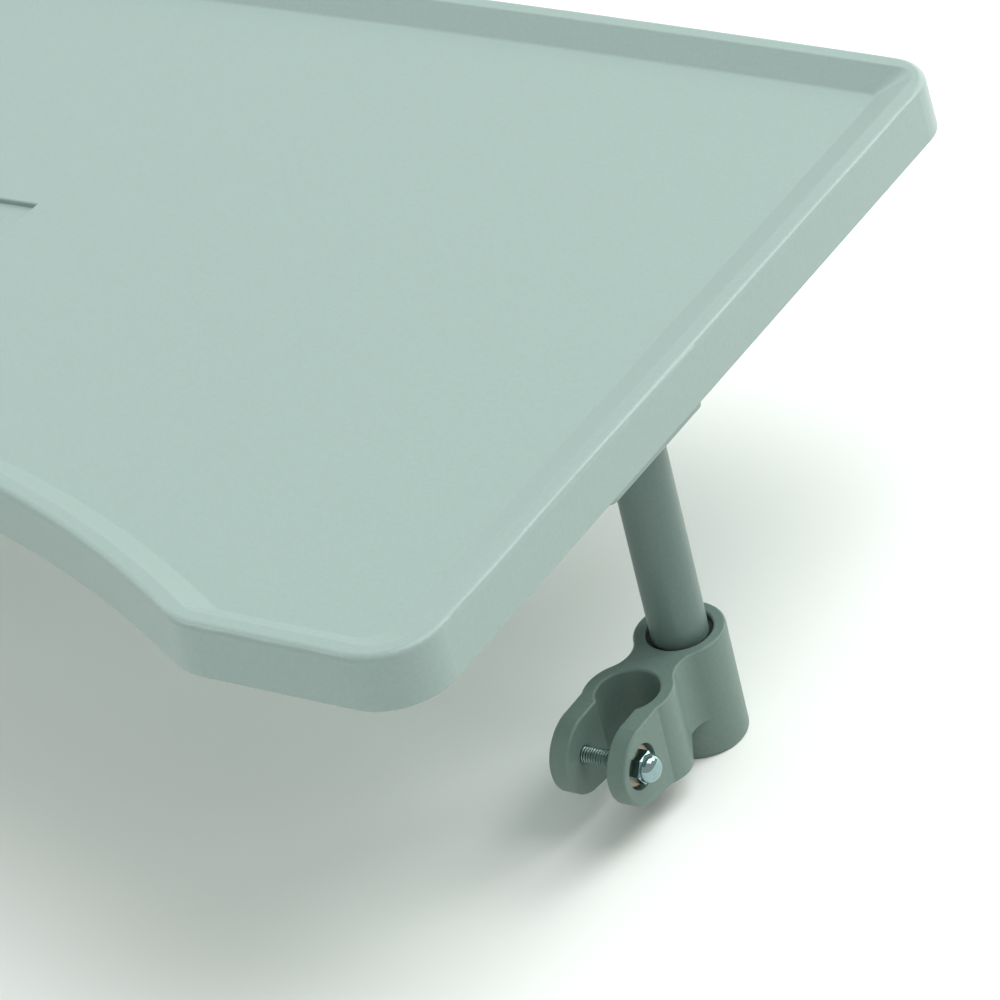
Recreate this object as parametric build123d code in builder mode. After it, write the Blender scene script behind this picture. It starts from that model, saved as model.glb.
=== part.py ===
"""Clamp-on moulded tray: a dished tray on two round posts, each ending in a bolted tube clamp.

Frame: +X to the user's right, +Y away from the user, +Z up, millimetres. The origin is the centre of
the bounding box at the level of the clamps' undersides.
"""

import os
from math import sqrt

from build123d import *

# Tray plan
tray_width = 670
tray_depth = 350             # near edge to far edge, at the sides
far_bow = 8                  # how far the far edge bulges at mid-width
bay_radius = 500             # concave bay for the user's body
bay_half_width = 248
skirt_radii = (20, 22.5, 28)  # far corners, near corners, shoulders of the bay
rim_radii = (9, 15, 8)
floor_radii = (3, 12, 4)

# Tray section
tray_top = 159.5
skirt = 20
draft = 0.8                  # how much wider the skirt is at its lower edge
dish_depth = 7
crest = 6.3                  # width of the rim's crest
outer_round = 2.4
inner_round = 1
floor_cove = 1.5
wall = 3
floor_side = 20              # from the tray's edge to the floor's edge
floor_far = 15.5
floor_near = 16.4
recess_width = 83
recess_length = 80
recess_back = 25
recess_depth = 2
recess_round = 0.8

# Underside
rib_thickness = 2
rib_height = 8
rib_rows = 6
row_pitch = 62
rib_columns = 8
column_pitch = 88
rib_clearance = 4            # from the bracket's flange to the nearest rib
boss_radius = 5
boss_height = 4
pilot_radius = 1.65
pilot_depth = 5.5

# Post, its bracket and their screws
post_x = 307.7
post_y = -10.3
post_radius = 10
post_wall = 1.5
post_depth = 17              # from the tray's top to the post's top
post_foot = 5.2
plug_lip = 2                 # the part of the plug that shows below the post
plug_length = 10
plug_wall = 2
flange_width = 48
flange_length = 96
flange_thickness = 3.5
flange_corner = 6
flange_x = 299
block_width = 26
block_length = 61
block_y = -15.3
block_corner = 4
block_round = 1
block_drop = 38.4            # from the tray's top to the bracket's underside
screw_dx = 34
screw_dy = 80
screw_radius = 1.6
screw_bite = 5               # how far the screw reaches above the flange
screw_head_radius = 3.6
screw_head = 2.2
screw_head_round = 1.2
slot_length = 4
slot_width = 0.8
slot_depth = 1.2
cross_screw_drop = 28
cross_screw_radius = 2.5
cross_screw_length = 24
cross_head_radius = 4.5
cross_head = 2.8
cross_head_round = 1.8
cross_socket_radius = 1.8
cross_socket_depth = 2

# Clamp, measured from the post's axis and from the clamp's top
clamp_top = 43.5
barrel_radius = 16
socket_radius = 11.55
socket_floor = 3
bush_drop = 1.5             # from the clamp's top to the bush's rim
tube_radius = 11             # the chair tube that the clamp grips
tube_y = -34.5
collar_radius = 16
neck_fillet = 11.8           # the neck's waist is 20 wide
ear_half = 15                # half the width over both ears
gap_half = 7.5
ear_front = -66
ear_shoulder = -53           # where the ears' top begins to curve down
ear_heel = -55               # where their underside begins
ear_bottom = 29
arm_bottom = 34
collar_back = -22.5
web_bottom = 28
web_step = 3
web_round = 2
clamp_round = 1

# Clamp bolt, washer and domed nut
bolt_y = -55
bolt_drop = 13.2
bolt_radius = 3
bolt_hole_radius = 3.2
bolt_reach = 4               # how far the bolt's end stands past the washer
bolt_chamfer = 0.5
hex_flats = 10
hex_head = 4
hex_pocket = 4.5
washer_radius = 7
washer_thickness = 1.2
spotface_radius = 8
spotface_depth = 3
nut_length = 8
nut_hex = 4
nut_chamfer = 0.5
nut_crown = 2                # thickness of the closed end
dome_radius = 4.9
dome_round = 3.6

fit_gap = 0.05               # running clearance on radius, and between stacked faces
overrun = 1                  # how far a cut runs past the face that it opens

post_top = tray_top - post_depth
block_bottom = tray_top - block_drop
block_x = post_x - block_width / 2
cross_screw_z = tray_top - cross_screw_drop
near_y = -(tray_depth + far_bow) / 2
far_y = near_y + tray_depth
skirt_bottom = tray_top - skirt
floor_z = tray_top - dish_depth
recess_middle = recess_back - recess_length / 2
ceiling_z = floor_z - wall
flange_top = ceiling_z - boss_height
flange_bottom = flange_top - flange_thickness
clamp_bolt_y = post_y + bolt_y
clamp_bolt_z = clamp_top - bolt_drop
inner_ear_x = post_x - ear_half
outer_ear_x = post_x + ear_half
head_x = inner_ear_x + hex_pocket - fit_gap
washer_x = outer_ear_x - spotface_depth + fit_gap
nut_x = washer_x + washer_thickness + fit_gap

STANDING = (Align.CENTER, Align.CENTER, Align.MIN)
HANGING = (Align.CENTER, Align.CENTER, Align.MAX)

os.makedirs("parts", exist_ok=True)


def plan(z, side, far, near, radii):
    """The tray's outline at height z, inset from its side, far and near edges."""
    far_r, near_r, shoulder_r = radii
    half = tray_width / 2 - side
    bow_radius = (tray_width ** 2 / 4 + far_bow ** 2) / (2 * far_bow)
    bow_centre = far_y + far_bow - bow_radius
    bow = bow_radius - far
    corner_y = bow_centre + sqrt(bow ** 2 - half ** 2)
    bay_centre = near_y - sqrt(bay_radius ** 2 - bay_half_width ** 2)
    bay = bay_radius + near
    edge_y = near_y + near
    bay_half = sqrt(bay ** 2 - (edge_y - bay_centre) ** 2)
    with BuildSketch(Plane.XY.offset(z)) as sketch:
        with BuildLine():
            Line((bay_half, edge_y), (half, edge_y))
            Line((half, edge_y), (half, corner_y))
            ThreePointArc((half, corner_y), (0, bow_centre + bow), (-half, corner_y))
            Line((-half, corner_y), (-half, edge_y))
            Line((-half, edge_y), (-bay_half, edge_y))
            ThreePointArc((-bay_half, edge_y), (0, bay_centre + bay), (bay_half, edge_y))
        make_face()
        fillet([v for v in sketch.vertices() if abs(v.X) < half - 1], shoulder_r)
        fillet(sketch.vertices().group_by(Axis.Y)[-1], far_r)
        fillet([v for v in sketch.vertices() if abs(v.X) > half - 1 and v.Y < edge_y + 1], near_r)
    return sketch.sketch


def facing_right(x, y, z):
    """A sketch plane at the point, square to the X axis."""
    return Plane(origin=(x, y, z), x_dir=(0, 1, 0), z_dir=(1, 0, 0))


def side_by_side(name, right):
    """Writes a right-hand piece and its mirror image on the left."""
    right.part.label = "right_" + name
    export_step(right.part, f"parts/right_{name}.step")
    with BuildPart() as left:
        mirror(right.part, about=Plane.YZ)
    left.part.label = "left_" + name
    export_step(left.part, f"parts/left_{name}.step")


# Tray shell: skirt and rim, with the dish cut from above and the hollow underside from below
with BuildPart() as dish:
    floor_edge = plan(floor_z, floor_side, floor_far, floor_near, floor_radii)
    rim_edge = plan(tray_top, crest, crest, crest, rim_radii)
    loft([floor_edge, rim_edge], ruled=True)
    fillet(dish.faces().sort_by(Axis.Z)[0].edges(), floor_cove)

with BuildPart() as dish_skin:
    thicker_floor = [radius + wall for radius in floor_radii]
    thicker_rim = [radius + wall for radius in rim_radii]
    floor_edge = plan(ceiling_z, floor_side - wall, floor_far - wall, floor_near - wall, thicker_floor)
    rim_edge = plan(tray_top, crest - wall, crest - wall, crest - wall, thicker_rim)
    loft([floor_edge, rim_edge], ruled=True)

with BuildPart() as hollow:
    extrude(plan(skirt_bottom, wall, wall, wall, skirt_radii), amount=skirt - wall)
    add(dish_skin, mode=Mode.SUBTRACT)

with BuildPart() as ribs:
    with Locations((0, 0, ceiling_z)):
        with GridLocations(0, row_pitch, 1, rib_rows):
            Box(tray_width, rib_thickness, rib_height, align=HANGING)
        with GridLocations(column_pitch, 0, rib_columns, 1):
            Box(rib_thickness, tray_depth + far_bow, rib_height, align=HANGING)
    with Locations((0, recess_middle, ceiling_z)):
        Box(recess_width + 2 * wall, recess_length + 2 * wall, recess_depth, align=HANGING)
    for x in (-flange_x, flange_x):
        with Locations((x, block_y, ceiling_z)):
            Box(
                flange_width + 2 * rib_clearance,
                flange_length + 2 * rib_clearance,
                rib_height,
                align=HANGING,
                mode=Mode.SUBTRACT,
            )
    add(hollow, mode=Mode.INTERSECT)

with BuildPart() as tray_shell:
    upper = plan(tray_top, 0, 0, 0, skirt_radii)
    lower = plan(skirt_bottom, -draft, -draft, -draft, skirt_radii)
    loft([lower, upper], ruled=True)
    fillet(tray_shell.faces().sort_by(Axis.Z)[-1].edges(), outer_round)
    add(dish, mode=Mode.SUBTRACT)
    rim = tray_shell.faces().filter_by(Axis.Z).sort_by(Axis.Z)[-1]
    fillet(rim.inner_wires()[0].edges(), inner_round)
    add(hollow, mode=Mode.SUBTRACT)
    add(ribs)
    with BuildSketch(Plane((0, recess_middle, floor_z))):
        Rectangle(recess_width, recess_length)
    extrude(amount=-recess_depth, mode=Mode.SUBTRACT)
    floor_rims = tray_shell.edges().filter_by_position(Axis.Z, floor_z - 0.01, floor_z + 0.01)
    fillet(floor_rims.sort_by_distance((0, recess_middle, floor_z))[:4], recess_round)
    for x in (-flange_x, flange_x):
        with Locations((x, block_y, ceiling_z)):
            with GridLocations(screw_dx, screw_dy, 2, 2):
                Cylinder(boss_radius, boss_height, align=HANGING)
        with Locations((x, block_y, flange_top)):
            with GridLocations(screw_dx, screw_dy, 2, 2):
                Cylinder(pilot_radius, pilot_depth, align=STANDING, mode=Mode.SUBTRACT)
tray_shell.part.label = "tray_shell"
export_step(tray_shell.part, "parts/tray_shell.step")

# Post bracket: a flange under four bosses, and a block that holds the post
with BuildPart() as bracket:
    with BuildSketch(Plane((flange_x, block_y, flange_bottom))):
        RectangleRounded(flange_width, flange_length, flange_corner)
    extrude(amount=flange_thickness)
    with BuildSketch(Plane((post_x, block_y, block_bottom))):
        RectangleRounded(block_width, block_length, block_corner)
    extrude(amount=flange_bottom - block_bottom)
    fillet(bracket.faces().sort_by(Axis.Z)[0].edges(), block_round)
    with BuildSketch(Plane((post_x, post_y, block_bottom))):
        Circle(post_radius + fit_gap)
    extrude(amount=post_top + fit_gap - block_bottom, mode=Mode.SUBTRACT)
    with Locations((flange_x, block_y, flange_bottom)):
        with GridLocations(screw_dx, screw_dy, 2, 2):
            Cylinder(pilot_radius, flange_thickness, align=STANDING, mode=Mode.SUBTRACT)
    with BuildSketch(facing_right(block_x, post_y, cross_screw_z)):
        Circle(cross_screw_radius + fit_gap)
    extrude(amount=cross_screw_length + overrun, mode=Mode.SUBTRACT)
side_by_side("post_bracket", bracket)

with BuildPart() as bracket_screws:
    with Locations((flange_x, block_y, flange_bottom)):
        with GridLocations(screw_dx, screw_dy, 2, 2):
            Cylinder(screw_radius, flange_thickness + screw_bite, align=STANDING)
            Cylinder(screw_head_radius, screw_head, align=HANGING)
    fillet(bracket_screws.faces().group_by(Axis.Z)[0].edges(), screw_head_round)
    with Locations((flange_x, block_y, flange_bottom - screw_head)):
        with GridLocations(screw_dx, screw_dy, 2, 2):
            Box(slot_length, slot_width, slot_depth, align=STANDING, mode=Mode.SUBTRACT)
            Box(slot_width, slot_length, slot_depth, align=STANDING, mode=Mode.SUBTRACT)
side_by_side("bracket_screws", bracket_screws)

# Post: a round tube, held in the bracket by one cross screw, with a plug in its foot
with BuildPart() as post:
    with BuildSketch(Plane((post_x, post_y, post_foot + plug_lip))):
        Circle(post_radius)
        Circle(post_radius - post_wall, mode=Mode.SUBTRACT)
    extrude(amount=post_top - post_foot - plug_lip)
    with BuildSketch(facing_right(block_x, post_y, cross_screw_z)):
        Circle(cross_screw_radius + fit_gap)
    extrude(amount=block_width, mode=Mode.SUBTRACT)
side_by_side("post", post)

with BuildPart() as post_screw:
    with BuildSketch(facing_right(block_x, post_y, cross_screw_z)):
        Circle(cross_screw_radius)
    extrude(amount=cross_screw_length)
    with BuildSketch(facing_right(block_x - cross_head, post_y, cross_screw_z)):
        Circle(cross_head_radius)
    extrude(amount=cross_head)
    fillet(post_screw.faces().sort_by(Axis.X)[0].edges(), cross_head_round)
    with BuildSketch(facing_right(block_x - cross_head, post_y, cross_screw_z)):
        RegularPolygon(cross_socket_radius, 6)
    extrude(amount=cross_socket_depth, mode=Mode.SUBTRACT)
side_by_side("post_screw", post_screw)

with BuildPart() as post_plug:
    with BuildSketch(Plane((post_x, post_y, post_foot))):
        Circle(post_radius - 4 * fit_gap)
    extrude(amount=plug_lip)
    fillet(post_plug.faces().sort_by(Axis.Z)[0].edges(), plug_lip / 2)
    with BuildSketch(Plane((post_x, post_y, post_foot + plug_lip))):
        Circle(post_radius - post_wall - fit_gap)
        Circle(post_radius - post_wall - plug_wall, mode=Mode.SUBTRACT)
    extrude(amount=plug_length)
side_by_side("post_plug", post_plug)

# Bush: a plastic cup that lines the clamp's socket; the post stands in it
with BuildPart() as bush:
    with BuildSketch(Plane((post_x, post_y, socket_floor + fit_gap))):
        Circle(socket_radius - fit_gap)
    extrude(amount=clamp_top - bush_drop - socket_floor - fit_gap)
    with BuildSketch(Plane((post_x, post_y, post_foot - 2 * fit_gap))):
        Circle(post_radius + fit_gap)
    extrude(amount=clamp_top, mode=Mode.SUBTRACT)
side_by_side("socket_bush", bush)

# Clamp: socket barrel, neck, split collar for the chair tube and two bolted ears
with BuildPart() as clamp:
    with BuildSketch(Plane((post_x, post_y, clamp_top))):
        Circle(barrel_radius)
        with Locations((0, tube_y)):
            Circle(collar_radius)
        # The neck's two sides are arcs that run smoothly into the barrel and the collar
        neck_y = tube_y / 2
        neck_span = sqrt((barrel_radius + neck_fillet) ** 2 - neck_y ** 2)
        share = barrel_radius / (barrel_radius + neck_fillet)
        with Locations((0, neck_y)):
            Rectangle(2 * neck_span * share, 2 * neck_y * (share - 1))
        with Locations((neck_span, neck_y), (-neck_span, neck_y)):
            Circle(neck_fillet, mode=Mode.SUBTRACT)
        with Locations((0, tube_y)):
            Rectangle(2 * ear_half, -ear_front, align=(Align.CENTER, Align.MAX))
    extrude(amount=-clamp_top)
    with BuildSketch(facing_right(post_x, post_y, clamp_top)) as side_view:
        with BuildLine():
            ThreePointArc((ear_shoulder, 0), (ear_front, -bolt_drop), (ear_heel, -ear_bottom))
            Polyline(
                (ear_heel, -ear_bottom),
                (collar_back, -arm_bottom),
                (collar_back + web_step, -web_bottom),
                (barrel_radius, -web_bottom),
                (barrel_radius, 0),
                (ear_shoulder, 0),
            )
        make_face()
        step_y = post_y + collar_back + web_step / 2
        step = [v for v in side_view.vertices() if abs(v.Y - step_y) < web_step]
        fillet(step, web_round)
    extrude(amount=2 * barrel_radius, both=True, mode=Mode.INTERSECT)
    with Locations((post_x, post_y, clamp_top)):
        Cylinder(barrel_radius, clamp_top, align=HANGING)
        Cylinder(socket_radius, clamp_top - socket_floor, align=HANGING, mode=Mode.SUBTRACT)
    with Locations((post_x, post_y + tube_y, 0)):
        Cylinder(tube_radius, clamp_top, align=STANDING, mode=Mode.SUBTRACT)
        gap_align = (Align.CENTER, Align.MAX, Align.MIN)
        Box(2 * gap_half, -ear_front, clamp_top, align=gap_align, mode=Mode.SUBTRACT)
    # Ease the edges of the top face, of the ears' faces and of the barrel's underside
    ears = clamp.faces().filter_by(Axis.X).edges()
    by_height = clamp.faces().sort_by(Axis.Z)
    fillet(by_height[-1].edges() + by_height[0].edges() + (ears - ears.filter_by(Axis.Z)), clamp_round)
    # The bolt's hole, a spotface on the outer ear and a hexagon pocket in the inner one
    with BuildSketch(facing_right(inner_ear_x - overrun, clamp_bolt_y, clamp_bolt_z)):
        Circle(bolt_hole_radius)
    extrude(amount=2 * (ear_half + overrun), mode=Mode.SUBTRACT)
    with BuildSketch(facing_right(outer_ear_x - spotface_depth, clamp_bolt_y, clamp_bolt_z)):
        Circle(spotface_radius)
    extrude(amount=spotface_depth + overrun, mode=Mode.SUBTRACT)
    with BuildSketch(facing_right(inner_ear_x - overrun, clamp_bolt_y, clamp_bolt_z)):
        RegularPolygon(hex_flats / 2 + fit_gap, 6, major_radius=False)
    extrude(amount=hex_pocket + overrun, mode=Mode.SUBTRACT)
side_by_side("clamp", clamp)

# Clamp bolt, washer and domed nut
with BuildPart() as clamp_bolt:
    with BuildSketch(facing_right(head_x - hex_head, clamp_bolt_y, clamp_bolt_z)):
        RegularPolygon(hex_flats / 2, 6, major_radius=False)
    extrude(amount=hex_head)
    with BuildSketch(facing_right(head_x, clamp_bolt_y, clamp_bolt_z)):
        Circle(bolt_radius)
    extrude(amount=washer_x + washer_thickness + bolt_reach - head_x)
    chamfer(clamp_bolt.faces().sort_by(Axis.X)[-1].edges(), bolt_chamfer)
side_by_side("clamp_bolt", clamp_bolt)

with BuildPart() as bolt_washer:
    with BuildSketch(facing_right(washer_x, clamp_bolt_y, clamp_bolt_z)):
        Circle(washer_radius)
        Circle(bolt_hole_radius, mode=Mode.SUBTRACT)
    extrude(amount=washer_thickness)
side_by_side("bolt_washer", bolt_washer)

with BuildPart() as cap_nut:
    with BuildSketch(facing_right(nut_x, clamp_bolt_y, clamp_bolt_z)):
        RegularPolygon(hex_flats / 2, 6, major_radius=False)
    extrude(amount=nut_hex)
    chamfer(cap_nut.faces().sort_by(Axis.X)[-1].edges(), nut_chamfer)
    with BuildSketch(facing_right(nut_x, clamp_bolt_y, clamp_bolt_z)):
        Circle(dome_radius)
    extrude(amount=nut_length)
    fillet(cap_nut.faces().sort_by(Axis.X)[-1].edges(), dome_round)
    with BuildSketch(facing_right(nut_x, clamp_bolt_y, clamp_bolt_z)):
        Circle(bolt_radius + fit_gap)
    extrude(amount=nut_length - nut_crown, mode=Mode.SUBTRACT)
side_by_side("cap_nut", cap_nut)
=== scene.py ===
"""Clamp-on moulded tray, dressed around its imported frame."""

from math import pi

import bpy
from mathutils import Matrix, Vector

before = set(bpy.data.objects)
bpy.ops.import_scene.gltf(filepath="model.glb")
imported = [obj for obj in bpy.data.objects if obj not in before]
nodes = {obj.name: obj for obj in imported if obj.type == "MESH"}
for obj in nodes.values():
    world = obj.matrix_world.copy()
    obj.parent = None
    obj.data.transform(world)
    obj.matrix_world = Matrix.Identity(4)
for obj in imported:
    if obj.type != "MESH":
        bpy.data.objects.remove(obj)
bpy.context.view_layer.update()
SIDES = ("right", "left")

# Colours, linear RGB
TRAY = (0.295, 0.380, 0.362)
CLAMP = (0.140, 0.204, 0.180)
POST = (0.125, 0.185, 0.168)
BLACK = (0.010, 0.012, 0.013)
# Zinc darkened and tinted green: painted shade where the bolt sits between the clamp's ears,
# and a painted green reflection of the clamp. The screws share this colour.
ZINC_WITH_PAINTED_SHADE = (0.24, 0.33, 0.31)
WASHER = (0.34, 0.30, 0.24)
# Chrome darkened and tinted teal: a painted reflection of dark and green surroundings on the
# cap nut.
CHROME_PAINTED_REFLECTION = (0.30, 0.42, 0.43)
FLOOR = (0.87, 0.878, 0.862)

# Studio light, in metres and watts
AMBIENT = (0.95, 1.0, 0.96)
AMBIENT_STRENGTH = 0.56
AIM_HEIGHT = 0.12
FLOOR_SIZE = 30
FLOOR_ROUGHNESS = 0.6
FLOOR_WANDER = 0.05
FLOOR_GRAIN_SCALE = 8
LAMPS = {                    # direction from the tray, distance, size, power
    "key": ((0.48, 0.28, 1.15), 3.6, 2.6, 85),
    "back": ((0.1, 1, 0.3), 3.0, 2.2, 25),
    "left": ((-1, 0.25, 0.3), 3.0, 2.2, 30),
    "front_glint": ((-0.54, -0.55, 0.64), 2.4, 0.7, 9),
    "side_glint": ((0.55, 0.64, 0.54), 2.4, 0.8, 16),
}

# Camera: where it stands, the way it looks, and its right-hand direction
CAMERA_AT = (1.1536, -1.0829, 1.0189)
LOOK_ALONG = (-0.5381, 0.6358, -0.5534)
CAMERA_RIGHT = (0.8289, 0.5183, -0.2104)
LENS_MM = 180
SENSOR_MM = 36
CLIP_END = 60

# Grain of the materials, as noise scales per metre
COLOUR_SCALE = 700
METAL_COLOUR_SCALE = 500
GLOSS_SCALE = 60
METAL_GLOSS_SCALE = 900
PLASTIC_SPECULAR = 0.4
PLASTIC_GLOSS_WANDER = 0.06
METAL_COLOUR_SPREAD = 0.08
METAL_GLOSS_SPAN = (0.7, 1.4)  # times the mean roughness


# Materials

def new_material(name, colour, roughness, metallic=0.0):
    """A Principled material and the handles to its tree."""
    material = bpy.data.materials.new(name)
    material.use_nodes = True
    tree = material.node_tree
    shader = tree.nodes["Principled BSDF"]
    shader.inputs["Base Color"].default_value = (*colour, 1)
    shader.inputs["Roughness"].default_value = roughness
    shader.inputs["Metallic"].default_value = metallic
    return material, tree, shader


def noise(tree, scale, detail=3.0, rough=0.5):
    """A noise texture read in object coordinates, so its scale is per metre."""
    coords = tree.nodes.new("ShaderNodeTexCoord")
    texture = tree.nodes.new("ShaderNodeTexNoise")
    texture.inputs["Scale"].default_value = scale
    texture.inputs["Detail"].default_value = detail
    texture.inputs["Roughness"].default_value = rough
    tree.links.new(coords.outputs["Object"], texture.inputs["Vector"])
    return texture


def vary_colour(tree, shader, texture, colour, spread):
    """Base colour wanders by the spread about its mean, following the texture."""
    ramp = tree.nodes.new("ShaderNodeValToRGB")
    ramp.color_ramp.elements[0].position = 0.3
    ramp.color_ramp.elements[1].position = 0.7
    ramp.color_ramp.elements[0].color = (*[c * (1 - spread) for c in colour], 1)
    ramp.color_ramp.elements[1].color = (*[c * (1 + spread) for c in colour], 1)
    tree.links.new(texture.outputs["Fac"], ramp.inputs["Fac"])
    tree.links.new(ramp.outputs["Color"], shader.inputs["Base Color"])


def vary_roughness(tree, shader, texture, low, high):
    """Roughness runs from low to high, following the texture."""
    span = tree.nodes.new("ShaderNodeMapRange")
    span.inputs["To Min"].default_value = low
    span.inputs["To Max"].default_value = high
    tree.links.new(texture.outputs["Fac"], span.inputs["Value"])
    tree.links.new(span.outputs["Result"], shader.inputs["Roughness"])


def bump(tree, shader, texture, height_mm, strength=1.0):
    """Relief of the given height from the texture."""
    relief = tree.nodes.new("ShaderNodeBump")
    relief.inputs["Distance"].default_value = height_mm / 1000
    relief.inputs["Strength"].default_value = strength
    tree.links.new(texture.outputs["Fac"], relief.inputs["Height"])
    tree.links.new(relief.outputs["Normal"], shader.inputs["Normal"])


def moulded(name, colour, roughness, grain_scale, grain_mm, spread):
    """Moulded plastic: a fine grain in the relief and a faint wander in the colour."""
    material, tree, shader = new_material(name, colour, roughness)
    vary_colour(tree, shader, noise(tree, COLOUR_SCALE, 4), colour, spread)
    low, high = roughness - PLASTIC_GLOSS_WANDER, roughness + PLASTIC_GLOSS_WANDER
    vary_roughness(tree, shader, noise(tree, GLOSS_SCALE), low, high)
    bump(tree, shader, noise(tree, grain_scale, 2), grain_mm)
    shader.inputs["Specular IOR Level"].default_value = PLASTIC_SPECULAR
    return material


def metal(name, colour, roughness, scratch_scale, scratch_mm):
    """Bare or plated metal with fine scratches in the relief."""
    material, tree, shader = new_material(name, colour, roughness, 1.0)
    vary_colour(tree, shader, noise(tree, METAL_COLOUR_SCALE, 3), colour, METAL_COLOUR_SPREAD)
    low, high = (roughness * part for part in METAL_GLOSS_SPAN)
    vary_roughness(tree, shader, noise(tree, METAL_GLOSS_SCALE), low, high)
    bump(tree, shader, noise(tree, scratch_scale, 2), scratch_mm)
    return material


def threaded(name, colour, roughness, pitch_mm, depth_mm):
    """Metal with a screw thread's ridges along the X axis."""
    material, tree, shader = new_material(name, colour, roughness, 1.0)
    vary_colour(tree, shader, noise(tree, METAL_COLOUR_SCALE, 3), colour, METAL_COLOUR_SPREAD)
    coords = tree.nodes.new("ShaderNodeTexCoord")
    ridges = tree.nodes.new("ShaderNodeTexWave")
    ridges.bands_direction = "X"
    ridges.inputs["Scale"].default_value = pi / 10 * 1000 / pitch_mm
    tree.links.new(coords.outputs["Object"], ridges.inputs["Vector"])
    bump(tree, shader, ridges, depth_mm)
    return material


tray_plastic = moulded("tray_plastic", TRAY, 0.33, 1400, 0.03, 0.03)
clamp_plastic = moulded("clamp_plastic", CLAMP, 0.42, 1800, 0.04, 0.05)
black_plastic = moulded("black_plastic", BLACK, 0.38, 1500, 0.03, 0.1)
post_paint = moulded("post_paint", POST, 0.34, 2500, 0.02, 0.04)
# The zinc colour carries painted shade and a painted green reflection.
zinc = metal("zinc", ZINC_WITH_PAINTED_SHADE, 0.28, 3000, 0.01)
bolt_zinc_painted_shade = threaded("bolt_zinc_painted_shade", ZINC_WITH_PAINTED_SHADE, 0.3, 1.0, 0.4)
washer_steel = metal("washer_steel", WASHER, 0.4, 3000, 0.01)
# The chrome colour carries a painted reflection of dark, green surroundings.
chrome_painted_reflection = metal("chrome_painted_reflection", CHROME_PAINTED_REFLECTION, 0.08, 3000, 0.002)

FINISH = {
    "post_bracket": tray_plastic,
    "bracket_screws": zinc,
    "post": post_paint,
    "post_screw": zinc,
    "post_plug": black_plastic,
    "socket_bush": black_plastic,
    "clamp": clamp_plastic,
    "clamp_bolt": bolt_zinc_painted_shade,
    "bolt_washer": washer_steel,
    "cap_nut": chrome_painted_reflection,
}


def finish(node, material):
    """Gives a CAD node its material."""
    nodes[node].data.materials.clear()
    nodes[node].data.materials.append(material)


finish("tray_shell", tray_plastic)
for side in SIDES:
    for piece, material in FINISH.items():
        finish(f"{side}_{piece}", material)


# Floor, light and camera

def stage_floor():
    """A pale paper floor under the clamps, which belongs to the stage."""
    bpy.ops.mesh.primitive_plane_add(size=FLOOR_SIZE, location=(0, 0, 0))
    floor = bpy.context.object
    floor.name = "studio_floor"
    material, tree, shader = new_material("floor_paper", FLOOR, FLOOR_ROUGHNESS)
    low, high = FLOOR_ROUGHNESS - FLOOR_WANDER, FLOOR_ROUGHNESS + FLOOR_WANDER
    vary_roughness(tree, shader, noise(tree, FLOOR_GRAIN_SCALE), low, high)
    floor.data.materials.append(material)


def softbox(name, direction, distance, size, power, colour):
    """A square lamp that faces the tray from the given direction."""
    aim = Vector((0, 0, AIM_HEIGHT))
    towards = Vector(direction).normalized()
    data = bpy.data.lights.new(name, "AREA")
    data.size = size
    data.energy = power
    data.color = colour
    lamp = bpy.data.objects.new(name, data)
    lamp.location = aim + towards * distance
    lamp.rotation_euler = towards.to_track_quat("Z", "Y").to_euler()
    bpy.context.scene.collection.objects.link(lamp)


def studio_light():
    """An even world, a large key lamp, and fills in the world's own tint."""
    world = bpy.data.worlds.new("studio")
    world.use_nodes = True
    back = world.node_tree.nodes["Background"]
    back.inputs["Color"].default_value = (*AMBIENT, 1)
    back.inputs["Strength"].default_value = AMBIENT_STRENGTH
    bpy.context.scene.world = world
    for name, (direction, distance, size, power) in LAMPS.items():
        colour = (1, 1, 1) if name == "key" else AMBIENT
        softbox(name, direction, distance, size, power, colour)


def camera():
    """The main view."""
    data = bpy.data.cameras.new("camera")
    data.lens = LENS_MM
    data.sensor_width = SENSOR_MM
    data.clip_end = CLIP_END
    eye = bpy.data.objects.new("camera", data)
    back = -Vector(LOOK_ALONG).normalized()
    right = Vector(CAMERA_RIGHT).normalized()
    up = back.cross(right)
    turn = Matrix((right, up, back)).transposed().to_4x4()
    eye.matrix_world = Matrix.Translation(CAMERA_AT) @ turn
    bpy.context.scene.collection.objects.link(eye)
    bpy.context.scene.camera = eye


stage_floor()
studio_light()
camera()
bpy.context.scene.view_settings.view_transform = "Standard"
